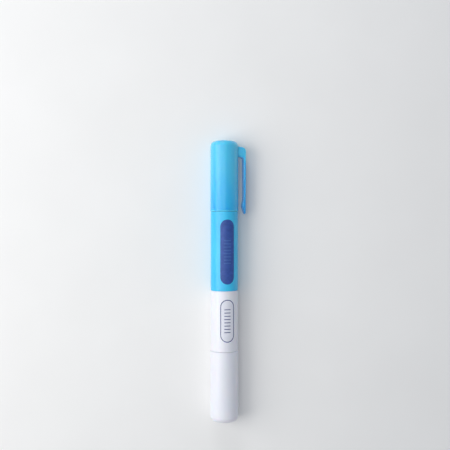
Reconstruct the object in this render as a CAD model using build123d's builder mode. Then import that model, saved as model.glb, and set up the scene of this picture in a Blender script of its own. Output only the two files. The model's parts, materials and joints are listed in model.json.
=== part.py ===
from build123d import *
from math import asin, cos, radians, sin
import os

# Double-ended water-erasable fabric marking pen: a blue marker end, a white eraser end and two caps.
#
# The pen lies along X. X = 0 is the seam between its two barrel halves, on the pen's axis. The marker half
# points to +X and the eraser half to -X. The marker cap's clip points to -Y, a little below level.
# Sizes are in millimetres.

os.makedirs("parts", exist_ok=True)

MARKER = 1
ERASER = -1

# Barrel halves
BARREL_R = 6.8
BARREL_BORE_R = 5.3
MARKER_BARREL_LENGTH = 39.3
ERASER_BARREL_LENGTH = 30.0
SEAM_ROUND = 0.45
MOUTH_ROUND = 0.2
PRESS_GAP = 0.02  # radial gap left where one piece is pressed into another
OVERRUN = 0.2  # how far a tool or a rib runs past the face that it has to reach

# Lead-ins: the slopes that let one piece slide into the next
PRESS_LEAD = 0.3
PRESS_LEAD_LENGTH = 0.6
COLLAR_LEAD = 0.4
TIP_LEAD = 0.3
CAP_LEAD = 0.35

# Snap beads and the grooves that they snap into
SNAP_BEAD_HEIGHT = 0.12
SNAP_BEAD_WIDTH = 0.9
BEAD_SINK = 0.1  # how far a bead's foot reaches into the wall that carries it
GROOVE_DEPTH = 0.16
GROOVE_SPARE = 0.1

# Coupler that joins the halves and keeps the two inks apart
COUPLER_REACH = 6.5
COUPLER_BORE_R = 4.45
PARTITION_HALF = 0.8
STOP_REACH = 3.0
STOP_RIB_WIDTH = 0.9
COUPLER_BEAD_AT = 4.2

# Nose that holds the nib. Its stations are distances from the barrel's mouth.
SKIRT_LENGTH = 9.0
SKIRT_BEAD_AT = -5.0
BULKHEAD_BACK = 1.5
BULKHEAD_FRONT = 3.0
COLLAR_LENGTH = 6.5
COLLAR_R = 5.72
CAP_BEAD_R = 5.93
CAP_BEAD_AT = 3.6
NECK_END = 9.0
NECK_R = 4.9
CONE_BASE_R = 4.7
CONE_END = 21.5
NOSE_END = 24.0
CHAMBER_END = 17.5
WALL_OF_CONE = 1.1
AIR_SLOTS = 3
AIR_SLOT_WIDTH = 0.5

# Nibs
MARKER_NIB_R = 1.25
ERASER_NIB_R = 1.6
NIB_BACK = -8.5
NIB_TAPER_LENGTH = 2.0
NIB_TAPER_TO = 0.45  # radius left at the nib's back, as a share of its full radius
NIB_DOME_LENGTH = 1.5  # length of the writing point, in nib radii
MARKER_NIB_END = 28.5
ERASER_NIB_END = 28.0
NOSE_TIP_WALL = 1.05  # wall round the nib at the nose's front

# Reservoirs
CORE_R = 4.25
FILM_R = 4.42
RESERVOIR_FRONT = 1.3
POCKET_SPARE = 0.1

# Caps. Their stations are also distances from the barrel's mouth.
CAP_R = 7.0
CAP_MOUTH = 0.08
CAP_END = 35.6
CAP_BORE_R = 6.0
CAP_FIT_END = 8.0
CAP_INNER_R = 5.8
CAP_STEP = 0.4
CAP_INNER_END = 33.5
CAP_INNER_BEVEL = 1.4
CROWN_ROUND = 2.6
CROWN_RISE = 1.1
LIP_ROUND = 0.25
RIB_COUNT = 6
RIB_START = 12.0
RIB_WIDTH = 0.8
RIB_INNER_R = 5.45

# Liner that seals over the nose inside each cap
LINER_MOUTH = 20.6
LINER_R = 3.7
LINER_FIT = 0.08
LINER_MOUTH_FLARE = 0.35
LINER_MOUTH_TAPER = 0.5
LINER_TAPER_LENGTH = 1.2
FLANGE_GAP = 0.1
LINER_HOLLOW_END = 31.0
FLANGE_START = 31.6
FLANGE_END = 33.4
FLANGE_R = 5.4

# Clip. It is measured from the seam, and its heights are distances from the pen's axis.
CLIP_TILT = 10.0  # degrees below level
CLIP_OUTER = 10.6
CLIP_INNER = 9.45
CLIP_TIP_X = 38.1
CLIP_TAPER_X = 60.0
CLIP_ROOT_WIDTH = 5.4
CLIP_TIP_WIDTH = 4.4
BUMP_X = 42.3
BUMP_HEIGHT = 8.75
BUMP_LENGTH = 1.6
BUMP_RAMP = 2.8
TIP_CHAMFER = 0.575
TIP_LIP = 0.3  # straight stretch of the free end below its chamfer
HINGE_X = 65.0
HINGE_FOOT_R = 0.9
HINGE_GAP = 0.05
LUG_TOP_X = 71.2
LUG_END_X = 71.9
LUG_ROUND = 1.9
LUG_SINK = 0.6  # how far the lug reaches into the cap's wall

# Oval panels inlaid in the barrel halves
PANEL_TURN = 13.5  # degrees from the top towards the clip's side
PANEL_WIDTH = 7.2
PANEL_THICKNESS = 0.12
PANEL_GAP = 0.03
MARKER_PANEL_LENGTH = 31.9
MARKER_PANEL_MIDDLE = 19.35
ERASER_PANEL_LENGTH = 21.0
ERASER_PANEL_MIDDLE = 14.6

HINGE_HEIGHT = CLIP_OUTER - HINGE_FOOT_R
clip_out = Vector(0, -cos(radians(CLIP_TILT)), -sin(radians(CLIP_TILT)))
clip_side_plane = Plane(origin=(0, 0, 0), x_dir=(1, 0, 0), z_dir=Vector(1, 0, 0).cross(clip_out))
clip_face_plane = Plane(origin=(0, 0, 0), x_dir=(1, 0, 0), z_dir=clip_out)
panel_out = Vector(0, -sin(radians(PANEL_TURN)), cos(radians(PANEL_TURN)))


def write(piece, name):
    """Labels a finished piece and writes it under its own name."""
    piece.part.label = name
    export_step(piece.part, f"parts/{name}.step")


def outline(points, side):
    """Draws a closed outline of (distance from the seam, radius) points on the sketch in hand."""
    Polygon(*[(side * x, r) for x, r in points], align=None)


def at_radius(solid_edges, radius, x):
    """The round edges of one radius that stand at one place along the pen."""
    return [
        edge
        for edge in solid_edges.filter_by(GeomType.CIRCLE)
        if abs(edge.radius - radius) < 1e-4 and abs(abs(edge.arc_center.X) - x) < 1e-4
    ]


def bead_section(middle, wall_r, height, spare=0.0):
    """The flat-topped section of a snap bead, or of its groove when it is given some spare width."""
    half = SNAP_BEAD_WIDTH / 2 + spare
    return [
        (middle - half, wall_r - BEAD_SINK),
        (middle - half / 2, wall_r + height),
        (middle + half / 2, wall_r + height),
        (middle + half, wall_r - BEAD_SINK),
    ]


def panel(side, middle, length, width, inner_r, outer_r):
    """A thin oval patch of the barrel's own curve, facing panel_out."""
    with BuildPart() as patch:
        with BuildSketch(Plane.XZ):
            start = middle - length
            end = middle + length
            outline([(start, inner_r), (end, inner_r), (end, outer_r), (start, outer_r)], side)
        revolve(axis=Axis.X)
        with BuildSketch(Plane(origin=(side * middle, 0, 0), x_dir=(1, 0, 0), z_dir=panel_out)):
            SlotOverall(length, width)
        extrude(amount=2 * BARREL_R, mode=Mode.INTERSECT)
    return patch


def barrel(side, length, panel_middle, panel_length):
    """A tube with a soft edge at the seam, grooves for the snap beads and a shallow oval recess."""
    recess = panel(
        side,
        panel_middle,
        panel_length + 2 * PANEL_GAP,
        PANEL_WIDTH + 2 * PANEL_GAP,
        BARREL_R - PANEL_THICKNESS - PRESS_GAP,
        BARREL_R + OVERRUN,
    )
    with BuildPart() as tube:
        with BuildSketch(Plane.XZ):
            outline([(0, BARREL_BORE_R), (length, BARREL_BORE_R), (length, BARREL_R), (0, BARREL_R)], side)
        revolve(axis=Axis.X)
        fillet(at_radius(tube.edges(), BARREL_R, 0), SEAM_ROUND)
        fillet(at_radius(tube.edges(), BARREL_R, length), MOUTH_ROUND)
        with BuildSketch(Plane.XZ):
            for bead_at in (COUPLER_BEAD_AT, length + SKIRT_BEAD_AT):
                outline(bead_section(bead_at, BARREL_BORE_R, GROOVE_DEPTH, GROOVE_SPARE), side)
        revolve(axis=Axis.X, mode=Mode.SUBTRACT)
        add(recess.part, mode=Mode.SUBTRACT)
    return tube


def nose(side, mouth, nib_r):
    """The nib holder: a skirt pressed into the barrel, a stepped collar for the cap and a hollow cone."""
    tip_r = nib_r + NOSE_TIP_WALL
    nib_hole_r = nib_r + PRESS_GAP
    skirt_r = BARREL_BORE_R - PRESS_GAP
    slope = (CONE_BASE_R - tip_r) / (CONE_END - NECK_END)
    chamber_end_r = CONE_BASE_R - slope * (CHAMBER_END - NECK_END) - WALL_OF_CONE
    section = [
        (-SKIRT_LENGTH, COUPLER_BORE_R),
        (-SKIRT_LENGTH, skirt_r - PRESS_LEAD),
        (PRESS_LEAD_LENGTH - SKIRT_LENGTH, skirt_r),
        (0, skirt_r),
        (0, COLLAR_R),
        (COLLAR_LENGTH - COLLAR_LEAD, COLLAR_R),
        (COLLAR_LENGTH, COLLAR_R - COLLAR_LEAD),
        (COLLAR_LENGTH, NECK_R),
        (NECK_END, NECK_R),
        (NECK_END, CONE_BASE_R),
        (CONE_END, tip_r),
        (NOSE_END - TIP_LEAD, tip_r),
        (NOSE_END, tip_r - TIP_LEAD),
        (NOSE_END, nib_hole_r),
        (CHAMBER_END, nib_hole_r),
        (CHAMBER_END, chamber_end_r),
        (NECK_END, CONE_BASE_R - WALL_OF_CONE),
        (BULKHEAD_FRONT, CONE_BASE_R - WALL_OF_CONE),
        (BULKHEAD_FRONT, nib_hole_r),
        (BULKHEAD_BACK, nib_hole_r),
        (BULKHEAD_BACK, COUPLER_BORE_R),
    ]
    with BuildPart() as holder:
        with BuildSketch(Plane.XZ):
            outline([(mouth + x, r) for x, r in section], side)
            outline(bead_section(mouth + SKIRT_BEAD_AT, skirt_r, SNAP_BEAD_HEIGHT), side)
            outline(bead_section(mouth + CAP_BEAD_AT, COLLAR_R, CAP_BEAD_R - COLLAR_R), side)
        revolve(axis=Axis.X)
        with BuildSketch(Plane.YZ.offset(side * (mouth + NOSE_END))):
            with PolarLocations(nib_r + AIR_SLOT_WIDTH / 2, AIR_SLOTS):
                Rectangle(AIR_SLOT_WIDTH, AIR_SLOT_WIDTH)
        extrude(amount=-side * (NOSE_END - CHAMBER_END + OVERRUN), mode=Mode.SUBTRACT)
    return holder


def nib(side, mouth, radius, end):
    """A fibre nib with a domed writing point and a tapered back that reaches into the reservoir."""
    shoulder = (side * (mouth + end - NIB_DOME_LENGTH * radius), radius)
    point = (side * (mouth + end), 0)
    back = side * (mouth + NIB_BACK)
    taper = side * (mouth + NIB_BACK + NIB_TAPER_LENGTH)
    with BuildPart() as rod:
        with BuildSketch(Plane.XZ):
            with BuildLine():
                Polyline(point, (back, 0), (back, radius * NIB_TAPER_TO), (taper, radius), shoulder)
                Spline(shoulder, point, tangents=[(side, 0), (0, -1)])
            make_face()
        revolve(axis=Axis.X)
    return rod


def reservoir_core(side, mouth, nib_r):
    """The fibre bundle, with the pocket that the nib's back end makes in it."""
    pocket_r = nib_r + PRESS_GAP
    front = mouth + RESERVOIR_FRONT
    pocket_end = mouth + NIB_BACK - POCKET_SPARE
    taper = mouth + NIB_BACK + NIB_TAPER_LENGTH
    with BuildPart() as core:
        with BuildSketch(Plane.XZ):
            outline(
                [
                    (STOP_REACH, 0),
                    (STOP_REACH, CORE_R),
                    (front, CORE_R),
                    (front, pocket_r),
                    (taper, pocket_r),
                    (pocket_end, nib_r * NIB_TAPER_TO + POCKET_SPARE),
                    (pocket_end, 0),
                ],
                side,
            )
        revolve(axis=Axis.X)
    return core


def reservoir_film(side, mouth):
    """The film tube wrapped round the fibre bundle."""
    inner = CORE_R + PRESS_GAP
    front = mouth + RESERVOIR_FRONT
    with BuildPart() as film:
        with BuildSketch(Plane.XZ):
            outline([(STOP_REACH, inner), (front, inner), (front, FILM_R), (STOP_REACH, FILM_R)], side)
        revolve(axis=Axis.X)
    return film


def cap_shell(side, mouth):
    """The outer cap: a long fit for the nose's collar, ribs for the liner and a low domed crown."""
    crown_edge = mouth + CAP_END - CROWN_RISE
    dome_r = (CAP_R**2 + CROWN_RISE**2) / (2 * CROWN_RISE)
    half_way = asin(CAP_R / dome_r) / 2
    with BuildPart() as shell:
        with BuildSketch(Plane.XZ):
            with BuildLine():
                corner = (side * crown_edge, CAP_R)
                on_dome = (side * (mouth + CAP_END - dome_r * (1 - cos(half_way))), dome_r * sin(half_way))
                top = (side * (mouth + CAP_END), 0)
                ThreePointArc(corner, on_dome, top)
                Polyline(top, (side * (mouth + CAP_MOUTH), 0), (side * (mouth + CAP_MOUTH), CAP_R), corner)
            make_face()
        revolve(axis=Axis.X)
        fillet(at_radius(shell.edges(), CAP_R, crown_edge), CROWN_ROUND)
        fillet(at_radius(shell.edges(), CAP_R, mouth + CAP_MOUTH), LIP_ROUND)
        with BuildSketch(Plane.XZ):
            hollow = [
                (CAP_MOUTH, 0),
                (CAP_MOUTH, CAP_BORE_R + CAP_LEAD),
                (CAP_MOUTH + CAP_LEAD, CAP_BORE_R),
                (CAP_FIT_END, CAP_BORE_R),
                (CAP_FIT_END + CAP_STEP, CAP_INNER_R),
                (CAP_INNER_END - CAP_INNER_BEVEL, CAP_INNER_R),
                (CAP_INNER_END, CAP_INNER_R - CAP_INNER_BEVEL),
                (CAP_INNER_END, 0),
            ]
            outline([(mouth + x, r) for x, r in hollow], side)
        revolve(axis=Axis.X, mode=Mode.SUBTRACT)
        with BuildSketch(Plane.YZ.offset(side * (mouth + RIB_START))):
            rib_outer_r = CAP_INNER_R + OVERRUN
            with PolarLocations((RIB_INNER_R + rib_outer_r) / 2, RIB_COUNT):
                Rectangle(rib_outer_r - RIB_INNER_R, RIB_WIDTH)
        extrude(amount=side * (CAP_INNER_END - RIB_START + OVERRUN))
    return shell


def cap_liner(side, mouth, nib_r):
    """The inner cap: a blind sleeve that seals on the nose, with a flange held by the shell's ribs."""
    seal_r = nib_r + NOSE_TIP_WALL + LINER_FIT
    section = [
        (LINER_MOUTH, seal_r + LINER_MOUTH_FLARE),
        (LINER_MOUTH, LINER_R - LINER_MOUTH_TAPER),
        (LINER_MOUTH + LINER_TAPER_LENGTH, LINER_R),
        (FLANGE_START, LINER_R),
        (FLANGE_START, FLANGE_R),
        (CAP_INNER_END - CAP_INNER_BEVEL, FLANGE_R),
        (FLANGE_END, CAP_INNER_R - CAP_INNER_BEVEL - FLANGE_GAP),
        (FLANGE_END, 0),
        (LINER_HOLLOW_END, 0),
        (LINER_HOLLOW_END, seal_r),
        (CONE_END, seal_r),
    ]
    with BuildPart() as liner:
        with BuildSketch(Plane.XZ):
            outline([(mouth + x, r) for x, r in section], side)
        revolve(axis=Axis.X)
    return liner


def coupler():
    """The double plug between the halves: a partition, two open ends, snap beads and stop ribs."""
    outer = BARREL_BORE_R - PRESS_GAP
    half_section = [
        (0, 0),
        (0, outer),
        (COUPLER_REACH - PRESS_LEAD_LENGTH, outer),
        (COUPLER_REACH, outer - PRESS_LEAD),
        (COUPLER_REACH, COUPLER_BORE_R),
        (PARTITION_HALF, COUPLER_BORE_R),
        (PARTITION_HALF, 0),
    ]
    with BuildPart() as plug:
        with BuildSketch(Plane.XZ):
            for side in (MARKER, ERASER):
                outline(half_section, side)
                outline(bead_section(COUPLER_BEAD_AT, outer, SNAP_BEAD_HEIGHT), side)
        revolve(axis=Axis.X)
        with BuildSketch(Plane.YZ):
            Rectangle(2 * COUPLER_BORE_R + OVERRUN, STOP_RIB_WIDTH)
            Rectangle(STOP_RIB_WIDTH, 2 * COUPLER_BORE_R + OVERRUN)
        extrude(amount=STOP_REACH - PRESS_GAP, both=True)
    return plug


def add_clip_lug(shell):
    """The lug that stands on the cap's side by the crown and cradles the clip's round foot."""
    lug_base = CAP_R - LUG_SINK
    with BuildPart() as lug:
        with BuildSketch(clip_side_plane) as side_view:
            Polygon(
                (HINGE_X, lug_base),
                (HINGE_X, CLIP_OUTER),
                (LUG_TOP_X, CLIP_OUTER),
                (LUG_END_X, lug_base),
                align=None,
            )
            fillet(side_view.vertices().sort_by(Axis.X)[-2], LUG_ROUND)
            with Locations((HINGE_X, HINGE_HEIGHT)):
                Circle(HINGE_FOOT_R + HINGE_GAP, mode=Mode.SUBTRACT)
        extrude(amount=CLIP_ROOT_WIDTH / 2, both=True)
    with BuildPart() as joined:
        add(shell.part)
        add(lug.part)
    return joined


def clip():
    """The pocket clip: a round foot, a straight arm, a bump that grips cloth and a flared free end."""
    tip_half = CLIP_TIP_WIDTH / 2
    root_half = CLIP_ROOT_WIDTH / 2
    with BuildPart() as arm:
        with BuildSketch(clip_side_plane):
            Polygon(
                (HINGE_X, CLIP_OUTER),
                (CLIP_TIP_X + TIP_CHAMFER, CLIP_OUTER),
                (CLIP_TIP_X, CLIP_OUTER - TIP_CHAMFER),
                (CLIP_TIP_X, CLIP_OUTER - TIP_CHAMFER - TIP_LIP),
                (BUMP_X - BUMP_LENGTH / 2, BUMP_HEIGHT),
                (BUMP_X + BUMP_LENGTH / 2, BUMP_HEIGHT),
                (BUMP_X + BUMP_LENGTH / 2 + BUMP_RAMP, CLIP_INNER),
                (HINGE_X, CLIP_INNER),
                align=None,
            )
            with Locations((HINGE_X, HINGE_HEIGHT)):
                Circle(HINGE_FOOT_R)
        extrude(amount=root_half, both=True)
        with BuildSketch(clip_face_plane):
            tip_x = CLIP_TIP_X + tip_half
            root_x = HINGE_X + 2 * HINGE_FOOT_R
            Polygon(
                (tip_x, -tip_half),
                (CLIP_TAPER_X, -root_half),
                (root_x, -root_half),
                (root_x, root_half),
                (CLIP_TAPER_X, root_half),
                (tip_x, tip_half),
                align=None,
            )
            with Locations((tip_x, 0)):
                Circle(tip_half)
        extrude(amount=2 * CLIP_OUTER, mode=Mode.INTERSECT)
    return arm


marker_mouth = MARKER_BARREL_LENGTH
eraser_mouth = ERASER_BARREL_LENGTH

write(barrel(MARKER, marker_mouth, MARKER_PANEL_MIDDLE, MARKER_PANEL_LENGTH), "marker_barrel")
write(barrel(ERASER, eraser_mouth, ERASER_PANEL_MIDDLE, ERASER_PANEL_LENGTH), "eraser_barrel")
write(coupler(), "centre_coupler")

for end_name, side, middle, length in (
    ("marker", MARKER, MARKER_PANEL_MIDDLE, MARKER_PANEL_LENGTH),
    ("eraser", ERASER, ERASER_PANEL_MIDDLE, ERASER_PANEL_LENGTH),
):
    inlay = panel(side, middle, length, PANEL_WIDTH, BARREL_R - PANEL_THICKNESS, BARREL_R)
    write(inlay, f"{end_name}_oval_panel")

for end_name, side, mouth, nib_r, nib_end in (
    ("marker", MARKER, marker_mouth, MARKER_NIB_R, MARKER_NIB_END),
    ("eraser", ERASER, eraser_mouth, ERASER_NIB_R, ERASER_NIB_END),
):
    write(nose(side, mouth, nib_r), f"{end_name}_nose")
    write(nib(side, mouth, nib_r, nib_end), f"{end_name}_nib")
    write(reservoir_core(side, mouth, nib_r), f"{end_name}_reservoir_core")
    write(reservoir_film(side, mouth), f"{end_name}_reservoir_film")
    write(cap_liner(side, mouth, nib_r), f"{end_name}_cap_liner")

write(add_clip_lug(cap_shell(MARKER, marker_mouth)), "marker_cap_shell")
write(cap_shell(ERASER, eraser_mouth), "eraser_cap_shell")
write(clip(), "marker_cap_clip")
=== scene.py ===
import json
from math import asin, atan, ceil, cos, pi, radians, sin, sqrt, tan

import bmesh
import bpy
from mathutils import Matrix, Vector


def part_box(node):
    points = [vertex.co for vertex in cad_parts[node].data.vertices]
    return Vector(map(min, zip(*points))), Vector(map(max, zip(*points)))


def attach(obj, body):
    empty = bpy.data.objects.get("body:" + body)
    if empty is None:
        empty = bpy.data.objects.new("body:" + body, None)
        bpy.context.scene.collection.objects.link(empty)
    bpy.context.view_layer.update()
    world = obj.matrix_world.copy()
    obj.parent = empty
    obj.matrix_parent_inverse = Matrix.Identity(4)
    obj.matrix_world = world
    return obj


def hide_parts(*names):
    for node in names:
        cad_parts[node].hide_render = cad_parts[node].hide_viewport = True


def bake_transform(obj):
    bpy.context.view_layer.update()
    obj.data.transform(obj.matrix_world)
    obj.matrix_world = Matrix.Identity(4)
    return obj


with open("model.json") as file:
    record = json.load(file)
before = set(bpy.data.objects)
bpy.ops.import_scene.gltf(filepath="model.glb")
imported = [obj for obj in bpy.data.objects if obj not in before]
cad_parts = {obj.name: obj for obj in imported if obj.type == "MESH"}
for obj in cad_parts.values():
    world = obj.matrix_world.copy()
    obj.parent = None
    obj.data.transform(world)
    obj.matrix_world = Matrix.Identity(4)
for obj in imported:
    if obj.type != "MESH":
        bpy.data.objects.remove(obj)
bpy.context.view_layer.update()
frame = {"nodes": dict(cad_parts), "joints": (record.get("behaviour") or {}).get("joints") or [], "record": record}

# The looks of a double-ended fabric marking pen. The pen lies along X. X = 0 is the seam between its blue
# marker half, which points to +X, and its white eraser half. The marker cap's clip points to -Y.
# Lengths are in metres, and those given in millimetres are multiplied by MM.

MM = 0.001
SEGMENTS = 192  # points round a turned piece
ARC_STEP = radians(12)  # longest piece of a small round
ARC_PIECES = 3  # fewest pieces of a small round
SUPPORT = 0.12 * MM  # distance from a round to the ring that keeps the run beside it straight
SHORT_RUN = 4 * SUPPORT  # a run no longer than this needs no rings of its own
LONGEST_RUN = 2.5 * MM
TINY = 1e-12
SHARP_ANGLE = radians(38)

# Sizes and depths of the detail in the materials
PIGMENT_CLOUD = 6 * MM
SCUFF = 1.1 * MM
SCUFF_PALENESS = 0.04  # how much paler a plastic is where it is scuffed
SATIN_GRAIN = 0.3 * MM
SATIN_DEPTH = 0.005 * MM
INK_CLOUD = 1.6 * MM
INK_SPECK = 0.16 * MM
INK_SPECK_GAIN = 1.12  # how much lighter the specks are
INK_GRAIN = 0.14 * MM
INK_DEPTH = 0.01 * MM
STRAND = 0.09 * MM
STRAND_DEPTH = 0.05 * MM
FIBRE_PATCH = 1.2 * MM
CARD_CLOUD = 40 * MM
CARD_GRAIN = 0.3 * MM
CARD_DEPTH = 0.03 * MM

MARKER = 1
ERASER = -1

# Caps. Their stations are distances from the lip, towards the crown.
CAP_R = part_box("eraser_cap_shell")[1].z
CAP_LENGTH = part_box("eraser_cap_shell")[1].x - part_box("eraser_cap_shell")[0].x
CROWN_RISE = 1.1 * MM
CROWN_ROUND = 2.6 * MM
CROWN_RINGS = 28
CROWN_SPACING = 1.4  # exponent that brings the rings closer together towards the gate mark
DOME_R = (CAP_R**2 + CROWN_RISE**2) / (2 * CROWN_RISE)
CROWN_TANGENT = asin((CAP_R - CROWN_ROUND) / (DOME_R - CROWN_ROUND))  # where dome and edge meet
DRAFT = 0.04 * MM  # how much slimmer the cap is by its crown
LIP_ROUND = 0.26 * MM
# width of the band of painted highlight along the cap's lip
LIP_HIGHLIGHT_WIDTH = 0.7 * MM
BORE_R = 6.0 * MM
BORE_LEAD = 0.35 * MM
BORE_END = 7.92 * MM
BORE_STEP = 0.4 * MM
INNER_R = 5.8 * MM
INNER_END = 33.42 * MM
INNER_BEVEL = 1.4 * MM
RIB_COUNT = 6
RIB_START = 12.0 * MM
RIB_RAMP = 0.8 * MM
RIB_HEIGHT = 0.35 * MM
RIB_WIDTH = 0.9 * MM
GATE_R = 0.95 * MM
GATE_DEPTH = 0.16 * MM
GATE_STUB_R = 0.38 * MM
GATE_STUB_HEIGHT = 0.09 * MM

CAP_MOUTH_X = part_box("marker_cap_shell")[0].x
CAP_CROWN_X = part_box("marker_cap_shell")[1].x

# Clip. Its heights are distances from the pen's axis.
CLIP_END_STEPS = 24
CLIP_END_SPACING = 3  # exponent that brings the stations closer together towards the free end
CLIP_ARM_STEPS = 64
ROOT_STEPS = 150
ROOT_SPACING = 1.5  # exponent that brings the stations closer together towards the cap
BEND_START_X = 62.0 * MM  # the clip bends between these two places
BEND_END_X = 68.0 * MM
CLIP_OUTER = 10.6 * MM
CLIP_INNER = 9.45 * MM
CLIP_TIP_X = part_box("marker_cap_clip")[0].x
CLIP_TIP_HALF = 2.2 * MM
CLIP_TIP_SQUARENESS = 3.0  # exponent of the free end's outline
CLIP_ROOT_HALF = 2.7 * MM
CLIP_TAPER_X = 60.0 * MM
CLIP_END_ROUND = 0.55 * MM
CLIP_TIP_INNER = 9.72 * MM
CLIP_SQUARENESS = 7  # exponent of the section's rounded rectangle
CLIP_SECTION_POINTS = 56
BUMP_X = 42.3 * MM
BUMP_HEIGHT = 8.78 * MM
BUMP_RAMP = 3.8 * MM
ARM_END_X = 62.5 * MM
ROOT_BASE = 5.85 * MM
ROOT_OUTER_X = 71.2 * MM
ROOT_FOOT_X = 72.0 * MM
ROOT_INNER_X = 66.2 * MM
ROOT_INNER_FOOT_X = 66.9 * MM
ROOT_OUTER_ROUND = 2.0 * MM
ROOT_INNER_ROUND = 1.5 * MM
ROOT_FILLET = 0.7 * MM
ROOT_FILLET_SINK = 0.04 * MM

# Barrel halves
BARREL_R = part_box("marker_barrel")[1].z
BARREL_BORE_R = 5.3 * MM
SEAM_ROUND = 0.45 * MM
MOUTH_ROUND = 0.2 * MM
FINE_ROUND = 0.08 * MM
GROOVE_HALF = 0.55 * MM
GROOVE_DEPTH = 0.16 * MM
COUPLER_GROOVE_AT = 4.2 * MM
NOSE_GROOVE_AT = 5.0 * MM  # from the barrel's mouth, inwards

# Noses, nibs and liners. Their stations are distances from the barrel's mouth, outwards.
SKIRT_R = 5.28 * MM
SKIRT_LENGTH = 9.0 * MM
SKIRT_BORE_R = 4.45 * MM
SKIRT_LEAD = 0.6 * MM
BEAD_HALF = 0.45 * MM
SKIRT_BEAD_HEIGHT = 0.12 * MM
COLLAR_R = 5.72 * MM
COLLAR_LENGTH = 6.5 * MM
COLLAR_ROUND = 0.4 * MM
CAP_BEAD_AT = 3.6 * MM
CAP_BEAD_R = 5.93 * MM
NECK_R = 4.9 * MM
NECK_END = 9.0 * MM
CONE_BASE_R = 4.7 * MM
CONE_END = 21.5 * MM
NOSE_END = 24.0 * MM
NOSE_TIP_WALL = 1.05 * MM
NOSE_TIP_ROUND = 0.7 * COLLAR_ROUND
NOSE_WALL = 1.1 * MM
CHAMBER_START = 3.0 * MM
CHAMBER_END = 17.5 * MM
BULKHEAD_BACK = 1.5 * MM
NIB_GAP = 0.02 * MM
AIR_SLOTS = 3
AIR_SLOT_WIDTH = 0.5 * MM
NIB_TAPER = 2.0 * MM
NIB_DOME = 1.5  # length of the writing point, in nib radii
NIB_DOME_RINGS = 20
NIB_BACK = 0.5  # radius of the back end, in nib radii
NIB_GRAIN = 0.012 * MM
NIB_STRANDS = (29, 47, 71)  # waves of fibre strands round a nib
STRAND_SHIFT = 1.3  # turns the second wave out of step with the others
STRAND_LAY = 9 / 40 * MM  # length over which the third wave turns by one radian
LINER_MOUTH = 20.6 * MM
LINER_R = 3.7 * MM
LINER_FIT = 0.08 * MM
LINER_FLARE = 0.35 * MM
LINER_ROUND = 0.5 * MM
LINER_HOLLOW_END = 31.0 * MM
FLANGE_START = 31.6 * MM
FLANGE_END = 33.4 * MM
FLANGE_R = 5.4 * MM

# Oval panels and the marks printed on them
PANEL_TURN = radians(13.5)  # from the top towards the clip's side
PANEL_WIDTH = 7.2 * MM
PANEL_RISE = 0.015 * MM
MARK_RISE = 0.03 * MM
PRINT_SINK = 0.05 * MM
PATCH_STEP = 0.4 * MM
BAR_COUNT = 8
BAR_PITCH = 1.6 * MM
PALE_BAR_LENGTH = 3.8 * MM
PALE_BAR_WIDTH = 0.55 * MM
NAVY_BAR_LENGTH = 3.2 * MM
NAVY_BAR_WIDTH = 0.38 * MM
OUTLINE_WIDTH = 0.40 * MM
OVAL_END_STEPS = 20
OVAL_SIDE_STEPS = 14

# Floor, camera and lights
FLOOR_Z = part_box("eraser_cap_shell")[0].z
FLOOR_HALF = 8.0
VIEW_HALF = 0.1125  # half the width seen at the pen's axis
CAMERA_HEIGHT = 0.35
CAMERA_X = 0.0326
CAMERA_Y = -0.00035
NEAREST_SEEN = 10 * MM
SKY_COLOUR = (0.86, 0.91, 1.0, 1)
SKY_STRENGTH = 0.36
BACKDROP_COLOUR = (0.76, 0.79, 0.84, 1)
GLOW_START = 0.3  # distances from the pen over which the floor's glow builds up
GLOW_END = 1.0
FAR_FLOOR_GLOW = 0.5  # makes up for the lamps, which don't reach the far floor


def steps(start, end, count):
    """Evenly spaced values from start to end, both included."""
    return [start + (end - start) * i / count for i in range(count + 1)]


def rounded(corners, closed=False):
    """Turns (x, r, round) corners into (x, r) points, with an arc at each corner that has a round."""
    points = []
    for i, (x, r, radius) in enumerate(corners):
        here = Vector((x, r))
        if radius == 0:
            points.append(here)
            continue
        back = (Vector(corners[i - 1][:2]) - here).normalized()
        ahead = (Vector(corners[(i + 1) % len(corners)][:2]) - here).normalized()
        half = back.angle(ahead) / 2
        middle = here + (back + ahead).normalized() * radius / sin(half)
        first = (here + back * radius / tan(half) - middle).normalized()
        last = (here + ahead * radius / tan(half) - middle).normalized()
        pieces = max(ARC_PIECES, ceil(first.angle(last) / ARC_STEP))
        points += [middle + first.slerp(last, t) * radius for t in steps(0, 1, pieces)]
    return supported(points, closed)


def supported(points, closed=False):
    """Adds points on each long run: one beside each end, and more so that no run is longer than allowed."""
    result = []
    for i, here in enumerate(points):
        result.append(here)
        if i + 1 == len(points) and not closed:
            break
        run = points[(i + 1) % len(points)] - here
        if run.length > SHORT_RUN:
            ahead = run.normalized()
            inner = run.length - 2 * SUPPORT
            pieces = ceil(inner / LONGEST_RUN)
            result += [here + ahead * (SUPPORT + inner * t) for t in steps(0, 1, pieces)]
    return result


def bridge(form, ring, following):
    """Joins two rings of points with faces. A ring of one point becomes the middle of a fan."""
    count = max(len(ring), len(following))
    for i in range(count):
        j = (i + 1) % count
        if len(ring) == 1:
            form.faces.new((ring[0], following[j], following[i]))
        elif len(following) == 1:
            form.faces.new((ring[i], ring[j], following[0]))
        else:
            form.faces.new((ring[i], ring[j], following[j], following[i]))


def rings_piece(name, rings, closed=False):
    """Makes a piece from rings of points. If closed, its last ring joins its first."""
    form = bmesh.new()
    made = [[form.verts.new(point) for point in ring] for ring in rings]
    for ring, following in zip(made, made[1:]):
        bridge(form, ring, following)
    if closed:
        bridge(form, made[-1], made[0])
    bmesh.ops.recalc_face_normals(form, faces=form.faces)
    mesh = bpy.data.meshes.new(name)
    form.to_mesh(mesh)
    form.free()
    mesh.shade_smooth()
    mesh.set_sharp_from_angle(angle=SHARP_ANGLE)
    piece = bpy.data.objects.new(name, mesh)
    bpy.context.scene.collection.objects.link(piece)
    return piece


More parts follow.
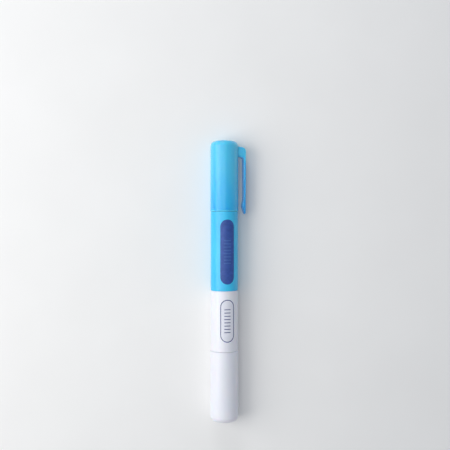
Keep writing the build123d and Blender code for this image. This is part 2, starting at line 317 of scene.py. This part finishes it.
def lathe(name, points, closed=False, shape=None):
    """Turns (x, r) points round the X axis. shape(x, r, angle) may change a point's radius."""
    rings = []
    for x, r in points:
        if r == 0:
            rings.append([(x, 0, 0)])
            continue
        ring = []
        for angle in steps(0, 2 * pi, SEGMENTS)[:-1]:
            radius = shape(x, r, angle) if shape else r
            ring.append((x, radius * cos(angle), radius * sin(angle)))
        rings.append(ring)
    return rings_piece(name, rings, closed)


# ---------------------------------------------------------------- materials


class Surface:
    """A procedural material in the making: its shader, its node tree and short ways to add nodes."""

    def __init__(self, name):
        self.material = bpy.data.materials.new(name)
        self.material.use_nodes = True
        self.tree = self.material.node_tree
        self.shader = self.tree.nodes["Principled BSDF"]
        self.place = self.tree.nodes.new("ShaderNodeTexCoord").outputs["Object"]
        self.normal = None
        self.base = None

    def set(self, **values):
        """Sets the shader's own sockets. An underscore in a name stands for a space."""
        for name, value in values.items():
            self.shader.inputs[name.replace("_", " ")].default_value = value

    def link(self, start, end):
        """Links a node's output to another node's input."""
        self.tree.links.new(start, end)

    def noise(self, size, detail=3, stretch=(1, 1, 1), rough=0.5):
        """Noise whose features are about one size across, stretched along the axes by the given factors."""
        mapping = self.tree.nodes.new("ShaderNodeMapping")
        mapping.inputs["Scale"].default_value = [1 / (size * s) for s in stretch]
        self.link(self.place, mapping.inputs["Vector"])
        texture = self.tree.nodes.new("ShaderNodeTexNoise")
        texture.inputs["Scale"].default_value = 1
        texture.inputs["Detail"].default_value = detail
        texture.inputs["Roughness"].default_value = rough
        self.link(mapping.outputs["Vector"], texture.inputs["Vector"])
        return texture.outputs["Fac"]

    def spread(self, value, low, high, from_low=0.3, from_high=0.7):
        """Maps a value to the range from low to high."""
        node = self.tree.nodes.new("ShaderNodeMapRange")
        node.inputs["From Min"].default_value = from_low
        node.inputs["From Max"].default_value = from_high
        node.inputs["To Min"].default_value = low
        node.inputs["To Max"].default_value = high
        self.link(value, node.inputs["Value"])
        return node.outputs["Result"]

    def mix(self, factor, first, second):
        """Mixes two colours, each a tuple or a node's output. The node takes colours at sockets 6 and 7."""
        node = self.tree.nodes.new("ShaderNodeMix")
        node.data_type = "RGBA"
        self.link(factor, node.inputs["Factor"])
        for socket, colour in ((node.inputs[6], first), (node.inputs[7], second)):
            if isinstance(colour, tuple):
                socket.default_value = (*colour, 1)
            else:
                self.link(colour, socket)
        return node.outputs[2]

    def bump(self, height, strength, distance):
        """Adds a layer of bump on top of those that are there."""
        node = self.tree.nodes.new("ShaderNodeBump")
        node.inputs["Strength"].default_value = strength
        node.inputs["Distance"].default_value = distance
        self.link(height, node.inputs["Height"])
        if self.normal:
            self.link(self.normal, node.inputs["Normal"])
        self.normal = node.outputs["Normal"]
        self.link(self.normal, self.shader.inputs["Normal"])

    def along(self, start, end):
        """Rises from 0 to 1 between two places along the pen."""
        split = self.tree.nodes.new("ShaderNodeSeparateXYZ")
        self.link(self.place, split.inputs[0])
        return self.spread(split.outputs["X"], 0, 1, start, end)

    def far(self, start, end, value):
        """Rises from 0 to a value between two distances from the origin."""
        length = self.tree.nodes.new("ShaderNodeVectorMath")
        length.operation = "LENGTH"
        self.link(self.place, length.inputs[0])
        return self.spread(length.outputs["Value"], 0, value, start, end)

    def colour(self, output):
        """Sets the base colour from a node's output, in place of any that was set before."""
        self.base = output
        self.link(output, self.shader.inputs["Base Color"])

    def roughness(self, output):
        """Sets the roughness from a node's output."""
        self.link(output, self.shader.inputs["Roughness"])


def moulded(name, light, deep, smooth, rough):
    """The base of every moulded plastic here: cloudy pigment, pale scuffs and a fine satin skin.

    Its roughness varies from smooth to rough."""
    surface = Surface(name)
    cloud = surface.spread(surface.noise(PIGMENT_CLOUD, stretch=(2.5, 1, 1)), 0, 1)
    pigment = surface.mix(cloud, light, deep)
    scuffs = surface.noise(SCUFF, detail=6, stretch=(5, 1, 1), rough=0.65)
    scuffed = surface.spread(scuffs, 0, 1, from_low=0.5, from_high=0.9)
    pale = tuple(channel + (1 - channel) * SCUFF_PALENESS for channel in light)
    surface.colour(surface.mix(scuffed, pigment, pale))
    surface.roughness(surface.spread(scuffs, smooth, rough, from_low=0.35, from_high=0.75))
    surface.bump(surface.noise(SATIN_GRAIN, detail=2), strength=0.03, distance=SATIN_DEPTH)
    return surface


def cap_plastic(name):
    """Translucent sky-blue polypropylene, in which light scatters deep below the surface."""
    surface = moulded(name, (0.10, 0.65, 1.0), (0.085, 0.61, 0.99), smooth=0.20, rough=0.28)
    surface.set(Subsurface_Weight=1.0, Subsurface_Scale=1.2 * MM, Subsurface_Radius=(1.0, 1.0, 0.8))
    surface.set(Sheen_Weight=0.5, Sheen_Roughness=0.5, Sheen_Tint=(0.55, 0.85, 1.0, 1))
    return surface


def cap_blue():
    """The cap's plastic, with painted shade that deepens it by the mouth, where the nose fills the cap, and a
    painted highlight that pales the lip.
    """
    surface = cap_plastic("cap_blue")
    # Painted shade: deeper colour towards the mouth, for the nose inside. Painted highlight: a pale band along the
    # lip.
    mouth_painted_shade = (0.012, 0.49, 0.94)
    lip_painted_highlight = (0.15, 0.74, 1.0)
    crown = surface.along(CAP_MOUTH_X, CAP_CROWN_X)
    lip = surface.along(CAP_MOUTH_X + LIP_HIGHLIGHT_WIDTH, CAP_MOUTH_X)
    plain = surface.base
    side = surface.mix(crown, surface.mix(crown, mouth_painted_shade, plain), plain)
    surface.colour(surface.mix(lip, side, lip_painted_highlight))
    return surface.material


def clip_blue():
    """The cap's plastic, with painted shade along the clip's thin arm, darkest towards its free end."""
    surface = cap_plastic("clip_blue")
    # Painted shade: the arm darkens from the bend towards the free end, as if the clip lay in shadow.
    tip_painted_shade = (0.03, 0.38, 0.78)
    bend_painted_shade = (0.07, 0.50, 0.91)
    arm = surface.along(CLIP_TIP_X, BEND_START_X)
    root = surface.along(BEND_START_X, BEND_END_X)
    surface.colour(surface.mix(root, surface.mix(arm, tip_painted_shade, bend_painted_shade), surface.base))
    return surface.material


def barrel_blue():
    """Opaque cyan-blue polypropylene."""
    surface = moulded("barrel_blue", (0.05, 0.60, 0.94), (0.035, 0.52, 0.90), smooth=0.32, rough=0.40)
    surface.set(Subsurface_Weight=0.12, Subsurface_Scale=0.8 * MM)
    return surface.material


def body_white():
    """White polypropylene with a faint cool tint."""
    surface = moulded("body_white", (0.86, 0.87, 0.93), (0.82, 0.83, 0.90), smooth=0.29, rough=0.36)
    surface.set(Subsurface_Weight=0.15, Subsurface_Scale=0.8 * MM)
    return surface.material


def nose_white():
    """White plastic of the nib holders, glossier than the barrels."""
    surface = moulded("nose_white", (0.88, 0.89, 0.91), (0.84, 0.85, 0.88), smooth=0.22, rough=0.28)
    return surface.material


def natural_plastic():
    """Unpigmented milky polypropylene of the pieces inside."""
    surface = moulded("natural_plastic", (0.80, 0.83, 0.83), (0.72, 0.75, 0.76), smooth=0.34, rough=0.50)
    surface.set(Transmission_Weight=0.35, IOR=1.4)
    return surface.material


def panel_ink(name, light, deep):
    """A printed patch: a dense, slightly uneven film of ink with fine specks."""
    surface = Surface(name)
    film = surface.spread(surface.noise(INK_CLOUD, detail=6, stretch=(1, 1.6, 1.6)), 0, 1)
    specks = surface.spread(surface.noise(INK_SPECK, detail=2), 0, 1, from_low=0.55, from_high=0.75)
    speck_colour = tuple(INK_SPECK_GAIN * channel for channel in light)
    surface.colour(surface.mix(specks, surface.mix(film, light, deep), speck_colour))
    surface.roughness(surface.spread(film, 0.36, 0.5, from_low=0, from_high=1))
    surface.bump(surface.noise(INK_GRAIN, detail=3), strength=0.12, distance=INK_DEPTH)
    return surface


def panel_navy():
    """Dark blue panel of the marker half."""
    return panel_ink("panel_navy", (0.035, 0.095, 0.40), (0.022, 0.065, 0.28)).material


def panel_white():
    """White panel of the eraser half."""
    return panel_ink("panel_white", (0.82, 0.83, 0.90), (0.78, 0.79, 0.87)).material


def eraser_mark():
    """Navy ink of the marks on the eraser half."""
    return panel_ink("eraser_mark", (0.06, 0.09, 0.26), (0.04, 0.06, 0.2)).material


def marker_mark():
    """Lighter blue of the marks on the navy panel."""
    return panel_ink("marker_mark", (0.06, 0.15, 0.44), (0.05, 0.13, 0.40)).material


def fibre(name, light, deep, along=40):
    """Bundled fibres along the pen. Their marks are drawn out along it by the given factor."""
    surface = Surface(name)
    strand = surface.noise(STRAND, detail=3, stretch=(along, 1, 1), rough=0.6)
    patches = surface.spread(surface.noise(FIBRE_PATCH, detail=4), 0, 1)
    base = surface.mix(surface.spread(strand, 0, 1), light, deep)
    surface.colour(surface.mix(patches, base, deep))
    surface.roughness(surface.spread(strand, 0.62, 0.92))
    surface.bump(strand, strength=0.6, distance=STRAND_DEPTH)
    surface.set(Sheen_Weight=0.15, Sheen_Roughness=0.6)
    return surface


def marker_fibre():
    """The marker's nib, soaked with blue ink."""
    return fibre("marker_fibre", (0.05, 0.24, 0.80), (0.02, 0.13, 0.58)).material


def eraser_fibre():
    """The eraser's nib, clean and off-white."""
    return fibre("eraser_fibre", (0.90, 0.89, 0.84), (0.80, 0.79, 0.74)).material


def inked_fibre():
    """The marker's ink reservoir."""
    return fibre("inked_fibre", (0.10, 0.34, 0.86), (0.04, 0.20, 0.66), along=80).material


def eraser_wadding():
    """The eraser's reservoir."""
    return fibre("eraser_wadding", (0.90, 0.90, 0.87), (0.80, 0.80, 0.78), along=80).material


def clear_film():
    """The thin film round each reservoir."""
    surface = moulded("clear_film", (0.88, 0.91, 0.95), (0.82, 0.86, 0.92), smooth=0.12, rough=0.22)
    surface.set(Transmission_Weight=0.8, IOR=1.3)
    return surface.material


def floor_card():
    """Plain pale card that stays pale as far as the backdrop."""
    surface = Surface("floor_card")
    tone = surface.spread(surface.noise(CARD_CLOUD, detail=2), 0, 1)
    surface.colour(surface.mix(tone, (0.92, 0.915, 0.90), (0.90, 0.895, 0.88)))
    surface.bump(surface.noise(CARD_GRAIN, detail=3), strength=0.05, distance=CARD_DEPTH)
    surface.set(Roughness=0.85, Specular_IOR_Level=0.2, Emission_Color=(1.0, 1.0, 1.0, 1))
    glow = surface.far(GLOW_START, GLOW_END, FAR_FLOOR_GLOW)
    surface.link(glow, surface.shader.inputs["Emission Strength"])
    return surface.material


# ---------------------------------------------------------------- pieces


def finish(piece, body, slot_name, material_name=None):
    """Lets a piece ride on a body and gives it its slot and the material of that name, or of its own."""
    if body:
        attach(piece, body)
    piece.data.materials.clear()
    piece.data.materials.append(MATERIALS[material_name or slot_name])


def gate_mark(r):
    """How far the gate's dimple and its stub change the crown at a distance from its centre."""
    if r >= GATE_R:
        return 0.0
    dimple = -GATE_DEPTH * cos(pi / 2 * (r / GATE_R) ** 3) ** 2
    stub = GATE_STUB_HEIGHT * cos(pi / 2 * min(1, r / GATE_STUB_R)) ** 2
    return dimple + stub


def crown_round_station():
    """The station of the middle of the crown's rounded edge, where the cap's straight side ends."""
    return CAP_LENGTH - DOME_R + (DOME_R - CROWN_ROUND) * cos(CROWN_TANGENT)


def crown_points():
    """(station, r) points from the crown's centre over its dome and rounded edge to the cap's side."""
    points = []
    for share in steps(0, 1, CROWN_RINGS):
        angle = CROWN_TANGENT * share**CROWN_SPACING
        r = DOME_R * sin(angle)
        points.append((CAP_LENGTH - DOME_R * (1 - cos(angle)) + gate_mark(r), r))
    for angle in steps(CROWN_TANGENT, pi / 2, CROWN_RINGS // 2)[1:]:
        r = CAP_R - DRAFT - CROWN_ROUND * (1 - sin(angle))
        points.append((crown_round_station() + CROWN_ROUND * cos(angle), r))
    return points


def rib_shape(lip_x, side):
    """A radius function that raises the ribs from the cap's inner wall."""

    def shape(x, r, angle):
        station = side * (x - lip_x)
        if abs(r - INNER_R) > SUPPORT or not RIB_START <= station <= INNER_END:
            return r
        ramp = min(1, (station - RIB_START) / RIB_RAMP)
        turn = (angle * RIB_COUNT / (2 * pi) + 0.5) % 1 - 0.5
        across = abs(turn) * 2 * pi * INNER_R / RIB_COUNT
        flank = min(1, max(0, (RIB_WIDTH - across) / (RIB_WIDTH / 2)))
        return r - RIB_HEIGHT * ramp * flank

    return shape


def cap_shell(name, side, node, body, slot_name):
    """An outer cap: domed crown with a gate mark, rounded lip, stepped bore and ribs for the liner."""
    low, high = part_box(node)
    lip_x = low.x if side == MARKER else high.x
    rim = (CAP_R + BORE_R + BORE_LEAD) / 2
    side_and_bore = [
        (CAP_LENGTH / 2, CAP_R - DRAFT / 2, 0),
        (0, CAP_R, LIP_ROUND),
        (0, rim, 0),
        (0, BORE_R + BORE_LEAD, FINE_ROUND),
        (BORE_LEAD, BORE_R, FINE_ROUND),
        (BORE_END, BORE_R, FINE_ROUND),
        (BORE_END + BORE_STEP, INNER_R, FINE_ROUND),
        (INNER_END - INNER_BEVEL, INNER_R, INNER_BEVEL / 3),
        (INNER_END, INNER_R - INNER_BEVEL, INNER_BEVEL / 3),
        (INNER_END, 0, 0),
    ]
    crown = crown_points()
    down_the_side = supported([Vector(crown[-1]), Vector(side_and_bore[0][:2])])
    stations = crown + down_the_side[1:-1] + rounded(side_and_bore)
    points = [(lip_x + side * station, r) for station, r in stations]
    shell = lathe(name, points, shape=rib_shape(lip_x, side))
    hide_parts(node)
    finish(shell, body, slot_name)


def notch(middle, r, half, height):
    """Corners of a snap bead or groove: a flat that is half as wide as its foot."""
    return [
        (middle - half, r, 0),
        (middle - half / 2, r + height, 0),
        (middle + half / 2, r + height, 0),
        (middle + half, r, 0),
    ]


def barrel(name, side, node, slot_name):
    """A barrel half: a tube with a soft edge at the seam and snap grooves in its bore."""
    low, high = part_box(node)
    length = high.x - low.x
    corners = [
        (0, BARREL_R, SEAM_ROUND),
        (0, BARREL_BORE_R, FINE_ROUND),
        *notch(COUPLER_GROOVE_AT, BARREL_BORE_R, GROOVE_HALF, GROOVE_DEPTH),
        *notch(length - NOSE_GROOVE_AT, BARREL_BORE_R, GROOVE_HALF, GROOVE_DEPTH),
        (length, BARREL_BORE_R, FINE_ROUND),
        (length, BARREL_R, MOUTH_ROUND),
    ]
    points = [(side * station, r) for station, r in rounded(corners, closed=True)]
    tube = lathe(name, points, closed=True)
    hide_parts(node)
    finish(tube, "barrel", slot_name)


def slot_shape(hole_r, x_start, x_end):
    """A radius function that opens the air slots round the nib, in the nose's front."""

    def shape(x, r, angle):
        if abs(r - hole_r) > NIB_GAP or not min(x_start, x_end) <= x <= max(x_start, x_end):
            return r
        turn = (angle * AIR_SLOTS / (2 * pi) + 0.5) % 1 - 0.5
        across = abs(turn) * 2 * pi * (hole_r + AIR_SLOT_WIDTH / 2) / AIR_SLOTS
        return r + AIR_SLOT_WIDTH if across < AIR_SLOT_WIDTH / 2 else r

    return shape


def nose(name, side, mouth, nib_r, node):
    """The nib holder: skirt, stepped collar with the cap's snap bead, neck, hollow cone and tip."""
    hole_r = nib_r + NIB_GAP
    tip_r = nib_r + NOSE_TIP_WALL
    chamber_end_r = CONE_BASE_R + (tip_r - CONE_BASE_R) * (CHAMBER_END - NECK_END) / (CONE_END - NECK_END)
    corners = [
        (-SKIRT_LENGTH, SKIRT_BORE_R, FINE_ROUND),
        (-SKIRT_LENGTH, SKIRT_R - SKIRT_LEAD / 2, FINE_ROUND),
        (SKIRT_LEAD - SKIRT_LENGTH, SKIRT_R, 0),
        *notch(-NOSE_GROOVE_AT, SKIRT_R, BEAD_HALF, SKIRT_BEAD_HEIGHT),
        (0, SKIRT_R, 0),
        (0, COLLAR_R, FINE_ROUND),
        *notch(CAP_BEAD_AT, COLLAR_R, BEAD_HALF, CAP_BEAD_R - COLLAR_R),
        (COLLAR_LENGTH, COLLAR_R, COLLAR_ROUND),
        (COLLAR_LENGTH, NECK_R, FINE_ROUND),
        (NECK_END, NECK_R, FINE_ROUND),
        (NECK_END, CONE_BASE_R, FINE_ROUND),
        (CONE_END, tip_r, COLLAR_ROUND),
        (NOSE_END, tip_r, NOSE_TIP_ROUND),
        (NOSE_END, hole_r, 0),
        (CHAMBER_END, hole_r, 0),
        (CHAMBER_END, chamber_end_r - NOSE_WALL, FINE_ROUND),
        (NECK_END, CONE_BASE_R - NOSE_WALL, 0),
        (CHAMBER_START, CONE_BASE_R - NOSE_WALL, FINE_ROUND),
        (CHAMBER_START, hole_r, 0),
        (BULKHEAD_BACK, hole_r, 0),
        (BULKHEAD_BACK, SKIRT_BORE_R, FINE_ROUND),
    ]
    points = [(mouth + side * station, r) for station, r in rounded(corners, closed=True)]
    slots = slot_shape(hole_r, mouth + side * CHAMBER_END, mouth + side * NOSE_END)
    holder = lathe(name, points, closed=True, shape=slots)
    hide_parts(node)
    finish(holder, "barrel", "nose_white")


def fibre_grain(x, r, angle):
    """A radius function that raises fine strands along a nib."""
    coarse, medium, fine = NIB_STRANDS
    waves = sin(coarse * angle) + sin(medium * angle + STRAND_SHIFT) + sin(fine * angle + x / STRAND_LAY)
    return r + NIB_GRAIN * waves


def nib(name, side, nib_r, node, slot_name):
    """A fibre rod with an elliptical writing point and a tapered back."""
    low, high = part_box(node)
    tip, back = (high.x, low.x) if side == MARKER else (low.x, high.x)
    core_r = nib_r - len(NIB_STRANDS) * NIB_GRAIN
    dome = NIB_DOME * nib_r
    points = [(0, 0)]
    for angle in steps(0, pi / 2, NIB_DOME_RINGS)[1:]:
        points.append((dome * (1 - cos(angle)), core_r * sin(angle)))
    length = abs(tip - back)
    run = supported([Vector(points[-1]), Vector((length - NIB_TAPER, core_r))])
    points += [tuple(point) for point in run[1:]]
    points += [(length, core_r * NIB_BACK), (length, 0)]
    rod = lathe(name, [(tip - side * station, r) for station, r in points], shape=fibre_grain)
    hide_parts(node)
    finish(rod, "barrel", slot_name)


def liner(name, side, mouth, nib_r, node, body):
    """The inner cap that seals on the nose's tip: a blind sleeve with a flange at the crown."""
    seal_r = nib_r + NOSE_TIP_WALL + LINER_FIT
    corners = [
        (FLANGE_END, 0, 0),
        (FLANGE_END, INNER_R - INNER_BEVEL - FINE_ROUND, FINE_ROUND),
        (INNER_END - INNER_BEVEL, FLANGE_R, FINE_ROUND),
        (FLANGE_START, FLANGE_R, FINE_ROUND),
        (FLANGE_START, LINER_R, FINE_ROUND),
        (LINER_MOUTH, LINER_R, LINER_ROUND),
        (LINER_MOUTH, seal_r + LINER_FLARE, FINE_ROUND),
        (CONE_END, seal_r, FINE_ROUND),
        (LINER_HOLLOW_END, seal_r, LINER_ROUND),
        (LINER_HOLLOW_END, 0, 0),
    ]
    points = [(mouth + side * station, r) for station, r in rounded(corners)]
    sleeve = lathe(name, points)
    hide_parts(node)
    finish(sleeve, body, "natural_plastic")


def make_half(side, end, cap_slot, barrel_slot, nib_slot):
    """All turned pieces of one half of the pen."""
    mouth = side * max(abs(corner.x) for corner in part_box(f"{end}_barrel"))
    nib_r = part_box(f"{end}_nib")[1].z
    barrel(f"{end}_half", side, f"{end}_barrel", barrel_slot)
    nose(f"{end}_nib_holder", side, mouth, nib_r, f"{end}_nose")
    nib(f"{end}_point", side, nib_r, f"{end}_nib", nib_slot)
    liner(f"{end}_inner_cap", side, mouth, nib_r, f"{end}_cap_liner", f"{end}_cap")
    cap_shell(f"{end}_outer_cap", side, f"{end}_cap_shell", f"{end}_cap", cap_slot)


def clip_inner_height(x):
    """Height of the clip's inner face: the bump that grips cloth, and the lead-in towards the free end."""
    if x < BUMP_X:
        rise = sin(pi / 2 * (BUMP_X - x) / (BUMP_X - CLIP_TIP_X)) ** 2
        return BUMP_HEIGHT + (CLIP_TIP_INNER - BUMP_HEIGHT) * rise
    fall = cos(pi / 2 * min(1, (x - BUMP_X) / BUMP_RAMP)) ** 2
    return CLIP_INNER - (CLIP_INNER - BUMP_HEIGHT) * fall


def clip_half_width(x):
    """Half the clip's width: a round free end, a slow taper and a full root."""
    tip_middle = CLIP_TIP_X + CLIP_TIP_HALF
    if x < tip_middle:
        depth = (tip_middle - x) / CLIP_TIP_HALF
        return CLIP_TIP_HALF * (1 - depth**CLIP_TIP_SQUARENESS) ** (1 / CLIP_TIP_SQUARENESS)
    share = min(1, (x - tip_middle) / (CLIP_TAPER_X - tip_middle))
    return CLIP_TIP_HALF + (CLIP_ROOT_HALF - CLIP_TIP_HALF) * share


def bend_points(corner_x, height, foot_x, radius):
    """Points along the arm's end, round its bend and down to the root's base, where they are closest."""
    corners = [(ARM_END_X, height, 0), (corner_x, height, radius), (foot_x, ROOT_BASE, 0)]
    path = rounded(corners)
    lengths = [0]
    for here, following in zip(path, path[1:]):
        lengths.append(lengths[-1] + (following - here).length)
    points = []
    for share in steps(0, 1, ROOT_STEPS):
        wanted = lengths[-1] * (1 - (1 - share) ** ROOT_SPACING)
        i = max(k for k in range(len(path) - 1) if lengths[k] <= wanted + TINY)
        share = (wanted - lengths[i]) / (lengths[i + 1] - lengths[i])
        points.append(tuple(path[i].lerp(path[i + 1], min(1, share))))
    return points


def clip_stations():
    """(outer point, inner point, half width) along the clip, from its free end to its root."""
    result = []
    for share in steps(0, 1, CLIP_END_STEPS)[1:]:
        x = CLIP_TIP_X + CLIP_TIP_HALF * share**CLIP_END_SPACING
        end = sqrt(1 - max(0, 1 - (x - CLIP_TIP_X) / CLIP_END_ROUND) ** 2)
        middle = (CLIP_OUTER + clip_inner_height(x)) / 2
        half = (CLIP_OUTER - clip_inner_height(x)) / 2 * end
        result.append(((x, middle + half), (x, middle - half), clip_half_width(x)))
    for x in steps(CLIP_TIP_X + CLIP_TIP_HALF, ARM_END_X, CLIP_ARM_STEPS)[1:-1]:
        result.append(((x, CLIP_OUTER), (x, clip_inner_height(x)), clip_half_width(x)))
    outer = bend_points(ROOT_OUTER_X, CLIP_OUTER, ROOT_FOOT_X, ROOT_OUTER_ROUND)
    inner = bend_points(ROOT_INNER_X, CLIP_INNER, ROOT_INNER_FOOT_X, ROOT_INNER_ROUND)
    result += [(o, i, CLIP_ROOT_HALF) for o, i in zip(outer, inner)]
    return result


def cap_surface_r(x):
    """The cap's outer radius at a place along its side or its rounded crown edge."""
    past = min(CROWN_ROUND, max(0, x - (CAP_CROWN_X - CAP_LENGTH) - crown_round_station()))
    return CAP_R - DRAFT - CROWN_ROUND + sqrt(CROWN_ROUND**2 - past**2)


def root_flare(point, sideways):
    """How far the clip's root spreads out above the cap, as a fillet that ends level with its surface."""
    edge = point + sideways * ROOT_FILLET
    clearance = Vector((edge.y, edge.z)).length - cap_surface_r(edge.x) + ROOT_FILLET_SINK
    if clearance >= ROOT_FILLET:
        return 0.0
    depth = 1 - max(0, clearance) / ROOT_FILLET
    return ROOT_FILLET * (1 - sqrt(1 - depth**2))


def clip():
    """The pocket clip and its root, in one smooth piece that bends beside the cap's crown."""
    across = Vector(next(j for j in frame["joints"] if j["name"] == "clip_flex")["axis"])
    along = Vector((1, 0, 0))
    out = along.cross(across)
    rings = []
    for outer, inner, half_width in clip_stations():
        outer = along * outer[0] + out * outer[1]
        inner = along * inner[0] + out * inner[1]
        middle = (outer + inner) / 2
        half_thick = (outer - inner) / 2
        ring = []
        for angle in steps(0, 2 * pi, CLIP_SECTION_POINTS)[:-1]:
            u = abs(cos(angle)) ** (2 / CLIP_SQUARENESS) * (1 if cos(angle) >= 0 else -1)
            v = abs(sin(angle)) ** (2 / CLIP_SQUARENESS) * (1 if sin(angle) >= 0 else -1)
            point = middle + half_thick * u + across * half_width * v
            sideways = half_thick.normalized() * u + across * v
            sideways -= out * sideways.dot(out)
            ring.append(point + sideways * root_flare(point, sideways))
        rings.append(ring)
    ends = [[sum(map(Vector, ring), Vector()) / len(ring)] for ring in (rings[0], rings[-1])]
    ends[0][0].x = CLIP_TIP_X
    piece = rings_piece("pocket_clip", [ends[0], *rings, ends[1]])
    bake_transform(piece)
    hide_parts("marker_cap_clip")
    finish(piece, None, "cap_blue", "clip_blue")


def wrapped(x, across, r):
    """A point on the barrel's curve, with its distance across measured from the panels' middle line."""
    angle = PANEL_TURN + across / BARREL_R
    return Vector((x, -r * sin(angle), r * cos(angle)))


def oval(length, width, inset=0.0):
    """(along, across) points round a stadium-shaped oval, drawn in from its edge by the inset."""
    radius = width / 2 - inset
    straight = (length - width) / 2
    result = []
    for side in (1, -1):
        for angle in steps(-pi / 2, pi / 2, OVAL_END_STEPS):
            result.append((side * (straight + radius * cos(angle)), side * radius * sin(angle)))
        result += [(side * straight * share, side * radius) for share in steps(1, -1, OVAL_SIDE_STEPS)[1:-1]]
    return result


def patch(name, middle_x, outline, rise):
    """A thin closed patch that follows the barrel, from (along, across) points round its outline."""
    low = BARREL_R - PRINT_SINK
    high = BARREL_R + rise
    shrinks = steps(0, 1, ceil(max(b for a, b in outline) / PATCH_STEP))[1:]
    rings = [[wrapped(middle_x, 0, low)]]
    for scale in shrinks:
        rings.append([wrapped(middle_x + a * scale, b * scale, low) for a, b in outline])
    for scale in reversed(shrinks):
        rings.append([wrapped(middle_x + a * scale, b * scale, high) for a, b in outline])
    rings.append([wrapped(middle_x, 0, high)])
    return rings_piece(name, rings)


def panel_place(node):
    """The middle and the length of a panel along the pen."""
    low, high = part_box(node)
    return (low.x + high.x) / 2, high.x - low.x


def panel(name, node, slot_name):
    """An oval panel, flush with the barrel."""
    middle, length = panel_place(node)
    piece = patch(name, middle, oval(length, PANEL_WIDTH), PANEL_RISE)
    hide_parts(node)
    finish(piece, "barrel", slot_name)


def bars(name, node, length, width, slot_name):
    """A row of short cross bars, like whip stitches, along the middle of a panel."""
    middle = panel_place(node)[0]
    for i in range(BAR_COUNT):
        x = middle + BAR_PITCH * (i - (BAR_COUNT - 1) / 2)
        outline = [(b, a) for a, b in oval(length, width)]
        finish(patch(f"{name}_{i + 1}", x, outline, MARK_RISE), "barrel", slot_name, name)


def panel_outline():
    """The thin navy line round the eraser half's panel."""
    middle, length = panel_place("eraser_oval_panel")
    low = BARREL_R - PRINT_SINK
    high = BARREL_R + MARK_RISE
    rings = []
    for inset, r in ((0, low), (0, high), (OUTLINE_WIDTH, high), (OUTLINE_WIDTH, low)):
        rings.append([wrapped(middle + a, b, r) for a, b in oval(length, PANEL_WIDTH, inset)])
    finish(rings_piece("eraser_panel_outline", rings, closed=True), "barrel", "panel_navy", "eraser_mark")


def dress_cad_nodes():
    """Gives every CAD node that still shows the material of its slot."""
    for subpart in frame["record"]["subparts"]:
        node = frame["nodes"][subpart["node"]]
        if not node.hide_render:
            node.data.materials.clear()
            node.data.materials.append(MATERIALS[subpart["material_slot"]])


# ---------------------------------------------------------------- stage


def make_floor():
    """A plain pale floor under the pen."""
    form = bmesh.new()
    corners = [(-1, -1), (1, -1), (1, 1), (-1, 1)]
    form.faces.new([form.verts.new((a * FLOOR_HALF, b * FLOOR_HALF, FLOOR_Z)) for a, b in corners])
    mesh = bpy.data.meshes.new("floor")
    form.to_mesh(mesh)
    form.free()
    floor = bpy.data.objects.new("floor", mesh)
    floor.data.materials.append(MATERIALS["floor_card"])
    bpy.context.scene.collection.objects.link(floor)


def make_camera():
    """A camera straight above the pen, with the marker's end at the top of the picture."""
    data = bpy.data.cameras.new("camera")
    data.angle = 2 * atan(VIEW_HALF / CAMERA_HEIGHT)
    data.clip_start = NEAREST_SEEN
    camera = bpy.data.objects.new("camera", data)
    camera.location = (CAMERA_X, CAMERA_Y, CAMERA_HEIGHT)
    camera.rotation_euler = (0, 0, -pi / 2)
    bpy.context.scene.collection.objects.link(camera)
    bpy.context.scene.camera = camera


def area_light(name, place, aim, size, power, colour):
    """A soft square light that faces a point."""
    data = bpy.data.lights.new(name, "AREA")
    data.size = size
    data.energy = power
    data.color = colour
    light = bpy.data.objects.new(name, data)
    light.location = place
    light.rotation_euler = (Vector(aim) - Vector(place)).to_track_quat("-Z", "Y").to_euler()
    bpy.context.scene.collection.objects.link(light)


def make_sky():
    """A dim sky that lights the pen, with a paler backdrop where the camera sees it beyond the floor."""
    world = bpy.data.worlds.new("world")
    world.use_nodes = True
    tree = world.node_tree
    sky = tree.nodes["Background"]
    sky.inputs["Color"].default_value = SKY_COLOUR
    sky.inputs["Strength"].default_value = SKY_STRENGTH
    backdrop = tree.nodes.new("ShaderNodeBackground")
    backdrop.inputs["Color"].default_value = BACKDROP_COLOUR
    choice = tree.nodes.new("ShaderNodeMixShader")
    tree.links.new(tree.nodes.new("ShaderNodeLightPath").outputs["Is Camera Ray"], choice.inputs[0])
    tree.links.new(sky.outputs[0], choice.inputs[1])
    tree.links.new(backdrop.outputs[0], choice.inputs[2])
    tree.links.new(choice.outputs[0], tree.nodes["World Output"].inputs["Surface"])
    bpy.context.scene.world = world


def make_lights():
    """Soft light from the side away from the clip, a little more from the marker's end, and a pale sky."""
    middle = (CAMERA_X, 0, 0)
    area_light("key", (0.02, 0.42, 0.34), middle, size=0.45, power=1.85, colour=(1.0, 0.985, 0.96))
    area_light("end", (0.50, 0.10, 0.25), middle, size=0.25, power=0.6, colour=(0.95, 0.97, 1.0))
    area_light("top", (0.03, 0.08, 0.60), middle, size=0.35, power=0.6, colour=(1.0, 1.0, 1.0))
    make_sky()
    bpy.context.scene.view_settings.view_transform = "Standard"


MATERIALS = {
    maker.__name__: maker()
    for maker in (
        cap_blue, clip_blue, barrel_blue, body_white, nose_white, natural_plastic, panel_navy, panel_white,
        eraser_mark, marker_mark, marker_fibre, eraser_fibre, inked_fibre, eraser_wadding, clear_film,
        floor_card,
    )
}

make_half(MARKER, "marker", "cap_blue", "barrel_blue", "marker_fibre")
make_half(ERASER, "eraser", "body_white", "body_white", "eraser_fibre")
clip()
panel("marker_panel", "marker_oval_panel", "panel_navy")
panel("eraser_panel", "eraser_oval_panel", "panel_white")
bars("marker_mark", "marker_oval_panel", PALE_BAR_LENGTH, PALE_BAR_WIDTH, "panel_navy")
bars("eraser_mark", "eraser_oval_panel", NAVY_BAR_LENGTH, NAVY_BAR_WIDTH, "panel_navy")
panel_outline()
dress_cad_nodes()
make_floor()
make_camera()
make_lights()
